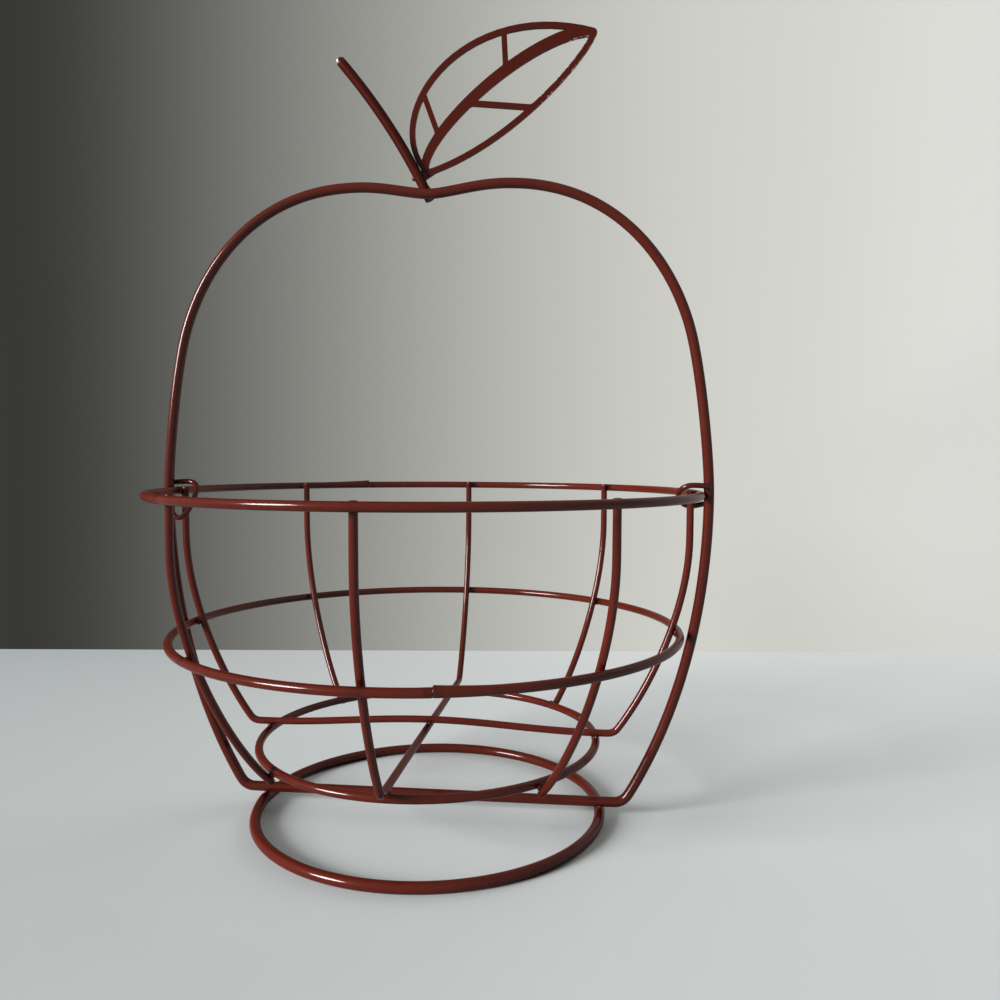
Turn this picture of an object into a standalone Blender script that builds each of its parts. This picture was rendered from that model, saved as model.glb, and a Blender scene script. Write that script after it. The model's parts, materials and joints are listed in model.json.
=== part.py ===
"""Wire fruit basket with the outline of an apple.

One bent wire draws the apple and serves as the handle. It stands on a hoop, and a stem and a
pierced sheet leaf are welded to its top. A bowl of three hoops and eight rib legs hangs inside it
from two eyes at the rim, and swings on them.

Units are metres, +Z is up, and the apple's outline lies in the XZ plane. The origin is on the
floor, under the middle of the bowl.
"""

import math

import bmesh
import bpy
from mathutils import Vector

# Clearance kept between pieces that are welded together or seat on each other
GAP = 0.0003

# Wire diameters and the leaf's sheet
FRAME_WIRE = 0.0048
FOOT_WIRE = 0.0050
HOOP_WIRE = 0.0038
RIB_WIRE = 0.0034
EYE_WIRE = 0.0025
STEM_WIRE = 0.0048
LEAF_SHEET = 0.0018

# Hoops, measured to the middle of their wire
RIM_RADIUS = 0.1270
BASE_RADIUS = 0.0803
FOOT_RADIUS = 0.0825
RIM_HEIGHT = 0.1551
MIDDLE_HEIGHT = 0.0900
BASE_HEIGHT = 0.0370

# Outline of the apple, measured to the middle of the frame wire
HANDLE_HEIGHT = 0.3005
CLEFT_DEPTH = 0.0043
CLEFT_ANGLE = math.radians(5.5)
SHOULDER_X = 0.0359
CHEEK_X = 0.1235
CHEEK_HEIGHT = 0.2260
CHEEK_ANGLE = math.radians(77.5)
HEEL_X = 0.0934
HEEL_ANGLE = math.radians(57.9)
HEEL_BEND = 0.0080

# How far each curve of the outline runs along its end tangents, as shares of its chord
CLEFT_PULL_SHARE = 0.39
SHOULDER_PULL_SHARE = 0.45
CHEEK_UPPER_PULL_SHARE = 0.32
CHEEK_LOWER_PULL_SHARE = 0.30
WAIST_UPPER_PULL_SHARE = 0.19
WAIST_LOWER_PULL_SHARE = 0.39
HEEL_PULL_SHARE = 0.28

# Bowl ribs: straight below the rim, then one curve down to the base hoop
SHORT_RIBS = 4
FRONT_RIB_SHIFT = -0.0009
FRONT_RIB_TURN = math.radians(-0.9)
BACK_RIBS_TURN = math.radians(1.8)
RIB_STRAIGHT = 0.0200
RIB_TOP_PULL_SHARE = 0.35
RIB_FOOT_PULL_SHARE = 0.23
RIB_FOOT_ANGLE = math.radians(46.0)
RIB_TAIL = 0.0025
RIB_BEND = 0.0060

# Eyes at the rim: a drawn-out loop of wire, tilted so that the rim and a rib leg pass through,
# with a lower half that hangs by a share more than the upper half rises, and spreads with it
EYE_HALF_WIDTH = 0.00625
EYE_REACH = 0.0141
EYE_LEG_SHARE = 0.30
EYE_TILT = math.radians(45.0)
RIGHT_EYE_DROOP_SHARE = 0.27
LEFT_EYE_DROOP_SHARE = 2.0
EYE_SPREAD_SHARE = 0.25

# Stem: leans to the left behind the handle, with its cut end just below it
STEM_LENGTH = 0.0808
STEM_LEAN = math.radians(33.2)
STEM_BOW = 0.0027
STEM_FOOT_X = -0.0008
STEM_FOOT_DROP = 0.0012

# Leaf: its own plane is behind the stem, and its length runs from base to tip
LEAF_LENGTH = 0.1043
LEAF_LEAN = math.radians(38.3)
LEAF_BASE_X = -0.0032
LEAF_BASE_RISE = 0.0112
LEAF_BORDER = 0.0027
LEAF_VEIN = 0.0026
LEAF_TIP = 0.0024
LEAF_CORNER = 0.0010
WINDOW_CORNER = 0.0011
STALK_WIDTH = 0.0030
STALK_SET = -0.0020
STALK_SHOULDER = 0.0010
STALK_LENGTH = 0.0080
CUT_OVERRUN = 0.0010

# Leaf outline and veins as shares of the leaf's length: along it, then across it
UPPER_EDGE_SHARES = ((0.0, 0.0), (-0.037, 0.372), (0.626, 0.558), (1.0, 0.010))
LOWER_EDGE_SHARES = ((0.0, 0.0), (0.410, -0.170), (0.976, -0.053), (1.0, 0.010))
MIDRIB_SHARES = ((0.004, 0.004), (0.022, 0.161), (0.751, 0.209), (0.985, 0.016))
MIDRIB_WIDTH_SHARES = (0.033, 0.047, 0.052)
UPPER_VEIN_SHARES = (((0.164, 0.129), (0.219, 0.299)), ((0.596, 0.166), (0.671, 0.273)))
LOWER_VEIN_SHARES = (((0.367, 0.121), (0.550, -0.059)),)

# Facets: sides of each wire, and steps along the curves
WIRE_SIDES = 10
FOOT_SIDES = 12
EYE_SIDES = 8
RIB_SIDES = 8
STEM_SIDES = 12
HOOP_STEPS = 84
FOOT_STEPS = 72
CLEFT_STEPS = 6
CHEEK_STEPS = 16
HEEL_STEPS = 5
RIB_STEPS = 20
RIB_FLOOR_STEPS = 12
RIB_BEND_STEPS = 4
SEARCH_STEPS = 60
EYE_STEPS = 14
STEM_STEPS = 10
LEAF_STEPS = 30
WINDOW_STEPS = 26
CORNER_STEPS = 3
SMOOTH_ANGLE = math.radians(50)
CORNER_ANGLE = math.radians(30)

PAINT = (0.140, 0.022, 0.013)
PAINT_ROUGHNESS = 0.36

# Sizes that follow from the ones above
FRAME_R = FRAME_WIRE / 2
FOOT_R = FOOT_WIRE / 2
HOOP_R = HOOP_WIRE / 2
RIB_R = RIB_WIRE / 2
EYE_R = EYE_WIRE / 2
STEM_R = STEM_WIRE / 2
FOOT_HEIGHT = FOOT_R * math.cos(math.pi / FOOT_SIDES)
FRAME_FLOOR = FOOT_HEIGHT + FOOT_R + GAP + FRAME_R
WAIST_X = RIM_RADIUS + HOOP_R + GAP + FRAME_R
RIB_SEAT = HOOP_R + GAP + RIB_R
RIB_FLOOR = BASE_HEIGHT + RIB_SEAT
RIB_TOP_RADIUS = RIM_RADIUS - RIB_SEAT
RIB_CROSSING_RISE = RIB_WIRE + GAP
STEM_Y = FRAME_R + GAP + STEM_R
LEAF_Y = STEM_Y + STEM_R + GAP + LEAF_SHEET / 2
CLEFT_HEIGHT = HANDLE_HEIGHT - CLEFT_DEPTH
Y_AXIS = Vector((0, 1, 0))
Z_AXIS = Vector((0, 0, 1))


def polar(angle, length):
    """A plane vector of the given length at an angle from the first axis."""
    return Vector((math.cos(angle), math.sin(angle))) * length


def bezier(start, start_pull, end_pull, end, steps):
    """Points of a cubic curve between two plane points, both ends included."""
    points = []
    for index in range(steps + 1):
        t = index / steps
        s = 1 - t
        points.append(start * s ** 3 + start_pull * (3 * s * s * t)
                      + end_pull * (3 * s * t * t) + end * t ** 3)
    return points


def fillet(before, corner, after, radius, steps):
    """Points of the arc that rounds a corner between two straight runs."""
    back = (before - corner).normalized()
    ahead = (after - corner).normalized()
    half = back.angle(ahead) / 2
    run = radius / math.tan(half)
    centre = corner + (back + ahead).normalized() * (radius / math.sin(half))
    first = corner + back * run - centre
    last = corner + ahead * run - centre
    sweep = math.pi - 2 * half
    points = []
    for index in range(steps + 1):
        angle = sweep * index / steps
        points.append(centre + (first * math.sin(sweep - angle) + last * math.sin(angle))
                      / math.sin(sweep))
    return points


def bend_to_level(curve, level, radius, steps):
    """Cut a falling curve where it meets a level, and bend it inwards along that level."""
    kept = [point for point in curve if point.y > level]
    inside = kept[-2]
    direction = (kept[-1] - inside).normalized()
    corner = inside + direction * ((level - inside.y) / direction.y)
    arc = fillet(inside, corner, Vector((0, level)), radius, steps)
    start = (arc[0] - corner).length
    return [point for point in kept if (point - corner).length > start + GAP] + arc


def frame_outline():
    """Closed path of the frame wire in the XZ plane, both halves."""
    cleft = Vector((0, CLEFT_HEIGHT))
    shoulder = Vector((SHOULDER_X, HANDLE_HEIGHT))
    cheek = Vector((CHEEK_X, CHEEK_HEIGHT))
    waist = Vector((WAIST_X, RIM_HEIGHT))
    heel = Vector((HEEL_X, FRAME_FLOOR))
    top = (shoulder - cleft).length
    upper = (cheek - shoulder).length
    side = (waist - cheek).length
    lower = (heel - waist).length
    half = bezier(cleft, cleft + polar(CLEFT_ANGLE, top * CLEFT_PULL_SHARE),
                  shoulder - Vector((top * CLEFT_PULL_SHARE, 0)), shoulder, CLEFT_STEPS)
    half += bezier(shoulder, shoulder + Vector((upper * SHOULDER_PULL_SHARE, 0)),
                   cheek - polar(-CHEEK_ANGLE, upper * CHEEK_UPPER_PULL_SHARE), cheek,
                   CHEEK_STEPS)[1:]
    half += bezier(cheek, cheek + polar(-CHEEK_ANGLE, side * CHEEK_LOWER_PULL_SHARE),
                   waist + Vector((0, side * WAIST_UPPER_PULL_SHARE)), waist, CLEFT_STEPS)[1:]
    fall = bezier(waist, waist - Vector((0, lower * WAIST_LOWER_PULL_SHARE)),
                  heel + polar(HEEL_ANGLE, lower * HEEL_PULL_SHARE), heel, CHEEK_STEPS)[1:]
    half += bend_to_level(fall, FRAME_FLOOR, HEEL_BEND, HEEL_STEPS)
    mirrored = [Vector((-point.x, point.y)) for point in reversed(half[1:])]
    return [Vector((point.x, 0, point.y)) for point in half + mirrored]


def rib_curve(steps):
    """Radius and height along a rib, from its top at the rim down to the base hoop."""
    top = Vector((RIB_TOP_RADIUS, RIM_HEIGHT + HOOP_R))
    start = Vector((RIB_TOP_RADIUS, RIM_HEIGHT - RIB_STRAIGHT))
    foot = Vector((BASE_RADIUS, BASE_HEIGHT)) + polar(RIB_FOOT_ANGLE - math.pi / 2, RIB_SEAT)
    chord = (foot - start).length
    return [top] + bezier(start, start - Vector((0, chord * RIB_TOP_PULL_SHARE)),
                          foot + polar(RIB_FOOT_ANGLE, chord * RIB_FOOT_PULL_SHARE), foot, steps)


def middle_radius():
    """Radius at which the middle hoop seats on the outside of the ribs at its height."""
    curve = rib_curve(SEARCH_STEPS)
    previous = None
    for before, after in zip(curve, curve[1:]):
        along = (after - before).normalized()
        seat = (before + after) / 2 + Vector((-along.y, along.x)) * RIB_SEAT
        if previous and previous.y >= MIDDLE_HEIGHT > seat.y:
            part = (previous.y - MIDDLE_HEIGHT) / (previous.y - seat.y)
            return previous.lerp(seat, part).x
        previous = seat
    raise ValueError("the middle hoop lies outside the ribs' height")


def short_rib_path():
    """Path of a short rib in its own XZ plane, ending just past the base hoop."""
    curve = rib_curve(RIB_STEPS)
    along = (curve[-1] - curve[-2]).normalized()
    curve.append(curve[-1] + along * RIB_TAIL)
    return [Vector((point.x, 0, point.y - RIM_HEIGHT)) for point in curve]


def long_rib_path(rise):
    """Path of a rib that runs under the bowl from rim to rim, raised at its middle."""
    leg = bend_to_level(rib_curve(RIB_STEPS), RIB_FLOOR, RIB_BEND, RIB_BEND_STEPS)
    floor = []
    for index in range(1, RIB_FLOOR_STEPS):
        x = leg[-1].x * (1 - 2 * index / RIB_FLOOR_STEPS)
        lift = rise * (1 + math.cos(math.pi * min(1, abs(x) / BASE_RADIUS))) / 2
        floor.append(Vector((x, RIB_FLOOR + lift)))
    other = [Vector((-point.x, point.y)) for point in reversed(leg)]
    return [Vector((point.x, 0, point.y - RIM_HEIGHT)) for point in leg + floor + other]


def hoop_path(radius, steps):
    """Points of a level circle round the Z axis."""
    points = []
    for index in range(steps):
        spot = polar(2 * math.pi * index / steps, radius)
        points.append(Vector((spot.x, spot.y, 0)))
    return points


def eye_path(droop):
    """Loop from the frame wire's upper side round the rim wire and back, about the rim's height.

    Its lower half hangs further down by the share given.
    """
    weld = (FRAME_R + GAP + EYE_R) / math.cos(EYE_TILT)
    centre = WAIST_X - EYE_REACH + EYE_HALF_WIDTH
    leg_end = centre + (WAIST_X - centre) * EYE_LEG_SHARE
    outer = [Vector((WAIST_X, weld)), Vector((leg_end, EYE_HALF_WIDTH))]
    turn = []
    for index in range(EYE_STEPS + 1):
        angle = math.pi / 2 + math.pi * index / EYE_STEPS
        turn.append(Vector((centre, 0)) + polar(angle, EYE_HALF_WIDTH))
    inner = [Vector((point.x, -point.y)) for point in reversed(outer)]
    lean = polar(math.pi / 2 + EYE_TILT, 1)
    path = []
    for point in outer + turn + inner:
        spot = Vector((point.x, lean.x * point.y, lean.y * point.y))
        if spot.z < 0:
            free = min(1, (WAIST_X - point.x) / (WAIST_X - centre))
            hang = droop * math.sin(free * math.pi / 2)
            spot.z *= 1 + hang
            spot.y *= 1 + hang * EYE_SPREAD_SHARE
        path.append(spot)
    return path


def wire_mesh(name, path, normal, radius, sides, closed, turn=0.0):
    """Sweep a round section along a path; normal is the direction square to the path's plane."""
    mesh = bpy.data.meshes.new(name)
    work = bmesh.new()
    count = len(path)
    rings = []
    for index, point in enumerate(path):
        before = path[index - 1] if closed or index else point
        after = path[(index + 1) % count] if closed or index < count - 1 else point
        ahead = (after - point).normalized()
        behind = (point - before).normalized()
        tangent = (ahead + behind).normalized()
        miter = 1 / max(tangent.dot(ahead), tangent.dot(behind))
        side = tangent.cross(normal).normalized()
        square = side.cross(tangent)
        ring = []
        for corner in range(sides):
            angle = turn + 2 * math.pi * corner / sides
            offset = side * (math.cos(angle) * miter) + square * math.sin(angle)
            ring.append(work.verts.new(point + offset * radius))
        rings.append(ring)
    pairs = list(zip(rings, rings[1:]))
    if closed:
        pairs.append((rings[-1], rings[0]))
    for first, second in pairs:
        for corner in range(sides):
            other = (corner + 1) % sides
            work.faces.new((first[corner], first[other], second[other], second[corner]))
    if not closed:
        work.faces.new(rings[0])
        work.faces.new(rings[-1])
    bmesh.ops.recalc_face_normals(work, faces=work.faces)
    work.to_mesh(mesh)
    work.free()
    mesh.shade_smooth()
    mesh.set_sharp_from_angle(angle=SMOOTH_ANGLE)
    return mesh


def paint(name):
    """Baked red-brown enamel for one piece."""
    material = bpy.data.materials.new(name + "_paint")
    material.use_nodes = True
    shader = material.node_tree.nodes["Principled BSDF"]
    shader.inputs["Base Color"].default_value = (*PAINT, 1)
    shader.inputs["Roughness"].default_value = PAINT_ROUGHNESS
    shader.inputs["Metallic"].default_value = 0.0
    material.diffuse_color = (*PAINT, 1)
    return material


def add_piece(name, mesh, location=(0, 0, 0), turn=0.0, parent=None):
    """Place a piece in the scene, turned about Z, with its own paint."""
    piece = bpy.data.objects.new(name, mesh)
    bpy.context.scene.collection.objects.link(piece)
    piece.location = location
    piece.rotation_euler = (0, 0, turn)
    piece.parent = parent
    if not mesh.materials:
        mesh.materials.append(None)
    piece.material_slots[0].link = "OBJECT"
    piece.material_slots[0].material = paint(name)
    return piece


def build_frame_wire():
    """The bent outline wire: handle, sides and straight bottom in one closed loop."""
    mesh = wire_mesh("frame_wire", frame_outline(), Y_AXIS, FRAME_R, WIRE_SIDES, True)
    return add_piece("frame_wire", mesh)


def build_foot_ring():
    """The hoop on the floor, with a facet of its section face down."""
    mesh = wire_mesh("foot_ring", hoop_path(FOOT_RADIUS, FOOT_STEPS), Z_AXIS, FOOT_R, FOOT_SIDES,
                     True, math.pi / FOOT_SIDES)
    return add_piece("foot_ring", mesh, (0, 0, FOOT_HEIGHT))


def build_stem():
    """The slightly bowed, cut length of wire behind the cleft."""
    along = Vector((-math.sin(STEM_LEAN), 0, math.cos(STEM_LEAN)))
    across = Vector((math.cos(STEM_LEAN), 0, math.sin(STEM_LEAN)))
    path = []
    for index in range(STEM_STEPS + 1):
        t = index / STEM_STEPS
        path.append(along * (STEM_LENGTH * t) + across * (STEM_BOW * 4 * t * (1 - t)))
    mesh = wire_mesh("stem", path, Y_AXIS, STEM_R, STEM_SIDES, False)
    return add_piece("stem", mesh, (STEM_FOOT_X, STEM_Y, CLEFT_HEIGHT - STEM_FOOT_DROP))


def build_eyes():
    """The two eyes that carry the rim, the left one turned half round."""
    normal = Vector((0, math.sin(math.pi / 2 + EYE_TILT), -math.cos(math.pi / 2 + EYE_TILT)))
    eyes = (("hanger_eye_right", RIGHT_EYE_DROOP_SHARE, 0),
            ("hanger_eye_left", LEFT_EYE_DROOP_SHARE, 1))
    for name, droop, half_turns in eyes:
        path = eye_path(droop)
        mesh = wire_mesh(name, path, normal, EYE_R, EYE_SIDES, False)
        add_piece(name, mesh, (0, 0, RIM_HEIGHT), math.pi * half_turns)


def build_hoops(pivot):
    """The rim, middle and base hoops of the bowl."""
    hoops = (("rim_ring", RIM_RADIUS, RIM_HEIGHT),
             ("middle_ring", middle_radius(), MIDDLE_HEIGHT),
             ("base_ring", BASE_RADIUS, BASE_HEIGHT))
    for name, radius, height in hoops:
        mesh = wire_mesh(name, hoop_path(radius, HOOP_STEPS), Z_AXIS, HOOP_R, WIRE_SIDES, True)
        add_piece(name, mesh, (0, 0, height - RIM_HEIGHT), 0, pivot)


def build_long_ribs(pivot):
    """Two ribs from rim to rim; the side one passes over the front one under the bowl."""
    side = wire_mesh("long_rib_side", long_rib_path(RIB_CROSSING_RISE), Y_AXIS, RIB_R, RIB_SIDES, False)
    add_piece("long_rib_side", side, (0, 0, 0), 0, pivot)
    front = wire_mesh("long_rib_front", long_rib_path(0), Y_AXIS, RIB_R, RIB_SIDES, False)
    add_piece("long_rib_front", front, (FRONT_RIB_SHIFT, 0, 0), math.pi / 2 + FRONT_RIB_TURN, pivot)


def build_short_ribs(pivot):
    """Four ribs from the rim to the base hoop, about halfway between the long ribs' legs."""
    ribs = (("short_rib_back_right", BACK_RIBS_TURN), ("short_rib_back_left", BACK_RIBS_TURN),
            ("short_rib_front_left", 0), ("short_rib_front_right", 0))
    mesh = wire_mesh("short_rib", short_rib_path(), Y_AXIS, RIB_R, RIB_SIDES, False)
    for index, (name, extra) in enumerate(ribs):
        turn = 2 * math.pi * (index + 0.5) / SHORT_RIBS + extra
        add_piece(name, mesh, (0, 0, 0), turn, pivot)


def leaf_curve(shares, steps):
    """A leaf curve from its shares of the leaf's length."""
    corners = [Vector(pair) * LEAF_LENGTH for pair in shares]
    return bezier(*corners, steps)


def offset_path(path, widths):
    """Move each point of an open path to its left by its own width."""
    moved = []
    last = len(path) - 1
    for index, point in enumerate(path):
        along = (path[min(index + 1, last)] - path[max(index - 1, 0)]).normalized()
        moved.append(point + Vector((-along.y, along.x)) * widths[index])
    return moved


def crossings(first, second):
    """Places where two open paths cross: position along each, and the point."""
    found = []
    for i, (a, b) in enumerate(zip(first, first[1:])):
        for j, (c, d) in enumerate(zip(second, second[1:])):
            r = b - a
            s = d - c
            area = r.x * s.y - r.y * s.x
            if area == 0:
                continue
            t = ((c - a).x * s.y - (c - a).y * s.x) / area
            u = ((c - a).x * r.y - (c - a).y * r.x) / area
            if 0 <= t < 1 and 0 <= u < 1:
                found.append((i + t, j + u, a + r * t))
    return sorted(found, key=lambda item: item[0])


def region_between(edge, spine):
    """Closed outline between an inner edge and the midrib's side, from crossing to crossing."""
    found = crossings(edge, spine)
    first, last = found[0], found[-1]
    outline = [first[2]]
    outline += [point for k, point in enumerate(edge) if first[0] < k < last[0]]
    outline.append(last[2])
    outline += [spine[k] for k in range(len(spine) - 1, -1, -1) if first[1] < k < last[1]]
    return outline


def keep_side(outline, point, along, width, side):
    """Keep the part of an outline on one side of a vein of the given width."""
    normal = Vector((-along.y, along.x)).normalized() * side
    kept = []
    for a, b in zip(outline, outline[1:] + outline[:1]):
        depth_a = (a - point).dot(normal) - width / 2
        depth_b = (b - point).dot(normal) - width / 2
        if depth_a > 0:
            kept.append(a)
        if (depth_a > 0) != (depth_b > 0):
            kept.append(a.lerp(b, depth_a / (depth_a - depth_b)))
    return kept


def leaf_windows():
    """Outlines of the openings between the leaf's border, midrib and veins."""
    midrib = leaf_curve(MIDRIB_SHARES, WINDOW_STEPS)
    first, middle, last = MIDRIB_WIDTH_SHARES
    half_widths = []
    for index in range(WINDOW_STEPS + 1):
        t = index / WINDOW_STEPS
        share = first * (1 - t) * (1 - 2 * t) + middle * 4 * t * (1 - t) + last * t * (2 * t - 1)
        half_widths.append(share * LEAF_LENGTH / 2)
    windows = []
    sides = ((UPPER_EDGE_SHARES, UPPER_VEIN_SHARES, 1), (LOWER_EDGE_SHARES, LOWER_VEIN_SHARES, -1))
    for edge_shares, vein_shares, side in sides:
        edge = leaf_curve(edge_shares, WINDOW_STEPS)
        inner = offset_path(edge, [-side * LEAF_BORDER] * (WINDOW_STEPS + 1))
        spine = offset_path(midrib, [side * width for width in half_widths])
        whole = region_between(inner, spine)
        veins = [(Vector(a) * LEAF_LENGTH, (Vector(b) - Vector(a)) * side) for a, b in vein_shares]
        for index in range(len(veins) + 1):
            part = whole
            if index > 0:
                part = keep_side(part, *veins[index - 1], LEAF_VEIN, -1)
            if index < len(veins):
                part = keep_side(part, *veins[index], LEAF_VEIN, 1)
            windows.append(part)
    return windows


def leaf_outline():
    """Outer outline of the leaf with the stalk that is welded behind the stem."""
    lower = leaf_curve(LOWER_EDGE_SHARES, LEAF_STEPS)
    upper = leaf_curve(UPPER_EDGE_SHARES, LEAF_STEPS)
    tip = fillet(lower[-2], lower[-1], upper[-2], LEAF_TIP, CORNER_STEPS * 2)
    reach = (tip[0] - lower[-1]).length + GAP
    left = STALK_SET - STALK_WIDTH
    outline = [Vector((left, -STALK_LENGTH)), Vector((STALK_SET, -STALK_LENGTH)),
               Vector((STALK_SET, -STALK_SHOULDER))]
    outline += [point for point in lower[1:] if (point - lower[-1]).length > reach]
    outline += tip
    outline += [point for point in reversed(upper[1:-1])
                if point.y > STALK_WIDTH and (point - lower[-1]).length > reach]
    outline.append(Vector((left, 0)))
    return outline


def prism(work, outline, depth, corner):
    """Add a straight-sided solid with the given flat outline and rounded corners."""
    front = [work.verts.new((point.x, -depth / 2, point.y)) for point in outline]
    back = [work.verts.new((point.x, depth / 2, point.y)) for point in outline]
    work.faces.new(front)
    work.faces.new(reversed(back))
    sharp = []
    count = len(outline)
    for index in range(count):
        after = (index + 1) % count
        work.faces.new((front[index], back[index], back[after], front[after]))
        ahead = outline[after] - outline[index]
        behind = outline[index] - outline[index - 1]
        if ahead.angle(behind) > CORNER_ANGLE:
            sharp.append(work.edges.get((front[index], back[index])))
    bmesh.ops.bevel(work, geom=sharp, offset=corner, segments=CORNER_STEPS, profile=0.5,
                    affect="EDGES", clamp_overlap=True)


def build_leaf():
    """The sheet leaf, pierced by its five windows."""
    work = bmesh.new()
    for outline in leaf_windows():
        prism(work, outline, LEAF_SHEET + 2 * CUT_OVERRUN, WINDOW_CORNER)
    bmesh.ops.recalc_face_normals(work, faces=work.faces)
    cutter_mesh = bpy.data.meshes.new("leaf_windows")
    work.to_mesh(cutter_mesh)
    work.clear()
    prism(work, leaf_outline(), LEAF_SHEET, LEAF_CORNER)
    bmesh.ops.recalc_face_normals(work, faces=work.faces)
    leaf_mesh = bpy.data.meshes.new("leaf")
    work.to_mesh(leaf_mesh)
    work.free()
    leaf = add_piece("leaf", leaf_mesh, (LEAF_BASE_X, LEAF_Y, CLEFT_HEIGHT + LEAF_BASE_RISE))
    leaf.rotation_euler = (0, -LEAF_LEAN, 0)
    cutter = bpy.data.objects.new("leaf_windows", cutter_mesh)
    bpy.context.scene.collection.objects.link(cutter)
    cutter.parent = leaf
    cutter.hide_render = True
    cutter.display_type = "WIRE"
    cut = leaf.modifiers.new("windows", "BOOLEAN")
    cut.operation = "DIFFERENCE"
    cut.solver = "EXACT"
    cut.object = cutter
    return leaf


def main():
    """Clear the scene and build every piece."""
    for item in list(bpy.data.objects):
        bpy.data.objects.remove(item, do_unlink=True)
    build_frame_wire()
    build_foot_ring()
    build_stem()
    build_leaf()
    build_eyes()
    pivot = bpy.data.objects.new("bowl_pivot", None)
    bpy.context.scene.collection.objects.link(pivot)
    pivot.location = (0, 0, RIM_HEIGHT)
    build_hoops(pivot)
    build_long_ribs(pivot)
    build_short_ribs(pivot)


main()
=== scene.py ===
"""Looks of the wire apple basket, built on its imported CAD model.

Laid out as an add-on: sizes and colours are properties, each group of pieces has an operator, and
the panel in the 3D view's sidebar lists them. Units are metres.
"""

import json
import math

import bpy
from mathutils import Matrix, Vector

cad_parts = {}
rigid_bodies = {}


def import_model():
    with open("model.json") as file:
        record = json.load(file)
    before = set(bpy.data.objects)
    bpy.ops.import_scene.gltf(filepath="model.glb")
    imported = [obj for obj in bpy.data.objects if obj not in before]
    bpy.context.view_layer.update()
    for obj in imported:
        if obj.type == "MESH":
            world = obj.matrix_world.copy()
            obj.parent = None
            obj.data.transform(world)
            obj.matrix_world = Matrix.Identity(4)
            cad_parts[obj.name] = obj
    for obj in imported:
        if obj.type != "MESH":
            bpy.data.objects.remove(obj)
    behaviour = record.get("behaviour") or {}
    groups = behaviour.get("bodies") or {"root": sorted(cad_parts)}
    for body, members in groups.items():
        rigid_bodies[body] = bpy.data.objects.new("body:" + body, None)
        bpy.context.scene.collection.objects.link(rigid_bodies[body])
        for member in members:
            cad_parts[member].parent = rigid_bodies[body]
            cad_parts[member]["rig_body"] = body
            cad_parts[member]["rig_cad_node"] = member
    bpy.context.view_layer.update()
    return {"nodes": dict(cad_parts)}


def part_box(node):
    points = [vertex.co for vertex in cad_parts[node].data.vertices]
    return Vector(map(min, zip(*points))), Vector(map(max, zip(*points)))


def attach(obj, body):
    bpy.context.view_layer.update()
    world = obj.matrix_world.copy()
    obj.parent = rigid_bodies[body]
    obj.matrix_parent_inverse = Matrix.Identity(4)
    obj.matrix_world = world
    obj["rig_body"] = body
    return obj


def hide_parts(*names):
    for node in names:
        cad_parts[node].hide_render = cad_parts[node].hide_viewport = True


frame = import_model()

bl_info = {
    "name": "Wire Apple Basket",
    "version": (1, 0, 0),
    "blender": (4, 5, 0),
    "location": "View3D > Sidebar > Apple Basket",
    "description": "Builds the enamelled wires, sheet leaf and welds of a wire apple basket",
    "category": "Object",
}

# Radius and number of sides of each wire in the CAD model
OUTLINE_WIRE = (0.0024, 10)
FOOT_WIRE = (0.0025, 12)
HOOP_WIRE = (0.0019, 10)
LEG_WIRE = (0.0017, 8)
EYE_WIRE = (0.00125, 8)
STEM_WIRE = (0.0024, 12)

# Levels of subdivision that make a faceted wire round, and the turn that makes an edge sharp
ROUND_LEVELS = 2
SHARP_TURN = math.radians(60)

# Where each hoop's ends are butted, in degrees round it from +X
FOOT_SEAM = 182
BOWL_SEAMS = (("rim", 118), ("middle", 281.3), ("base", 24))

# Cuts beside a butt seam, in half widths of its groove, and how far the raised end tapers off
SEAM_CUTS = (-8, -3, -1, 1, 3, 20)
SEAM_REACH = 0.019

# How far the back legs reach below the base hoop, which hides their ends
BACK_LEG_REACH = 0.0008

# Nearest that the two legs of one rib come to each other
LEG_GAP = 0.05

# Where an eye's legs lie on the outline wire, out from the middle and off the level of the rim
EYE_WELD = (0.1316, 0.0037)

# Where a bead sits on a hoop's wire, as a share of its radius: beside it, or out and down from it
BEAD_SIDE = 0.95
BEAD_CORNER = 0.72

# Shares of a full bead where the long ribs cross and where an eye's leg lies on the outline wire
CROSSING_SHARE = 0.75
EYE_SHARE = 0.7

# Height of the bead between the crossing ribs above the underside of the lower one
CROSSING_RISE = 0.0034

# Proportions of a bead before it is turned to its hoop, and how uneven it is
BEAD_SHAPE = (0.62, 0.95, 0.95)
BEAD_LUMPS = 0.00012

# Beads at the foot of the stem, above the stem's lowest point, with what they join and their share
STALK_WELDS = (((0.0002, 0.0025, 0.0026), ("stem", "frame_wire"), 0.9),
               ((-0.0043, 0.0076, 0.0134), ("stem", "leaf"), 0.9),
               ((-0.0085, 0.0051, 0.0113), ("stem", "leaf"), 0.6))

# Where the leaf's enamel is chipped, across and up from the leaf's right and top ends
LEAF_CHIPS = ((0.0090, 0.0084), (0.0057, 0.0085), (0.0112, 0.0193), (0.0140, 0.0228),
              (0.0173, 0.0264), (0.0210, 0.0308), (0.0238, 0.0335))

# Wear along the leaf's edges away from a chip
LEAF_RUB = 0.45

# Height above the stem's and the leaf's lowest points where they are welded
STALK_FOOT = 0.004

# Middle of the stem's cut top, in from the left and top of its box
STEM_CUT = (0.002, 0.001)

# How far the dark enamel of a weld and the painted shade in a seam's groove reach, and how far
# wear does
WIRE_WELD, STEM_WELD, LEAF_WELD, BEAD_WELD = 0.0028, 0.0035, 0.004, 0.005
CUT_WEAR, STEM_WEAR, CHIP_WEAR = 0.0012, 0.0022, 0.003

# Thickness that the enamel's relief stands for
RELIEF_DEPTH = 0.0001

# Size of the floor, height of the backdrop and height at which the backdrop's colour starts
FLOOR_SIZE = 6
WALL_HEIGHT = 2.4
WALL_START = 0.0002
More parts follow.
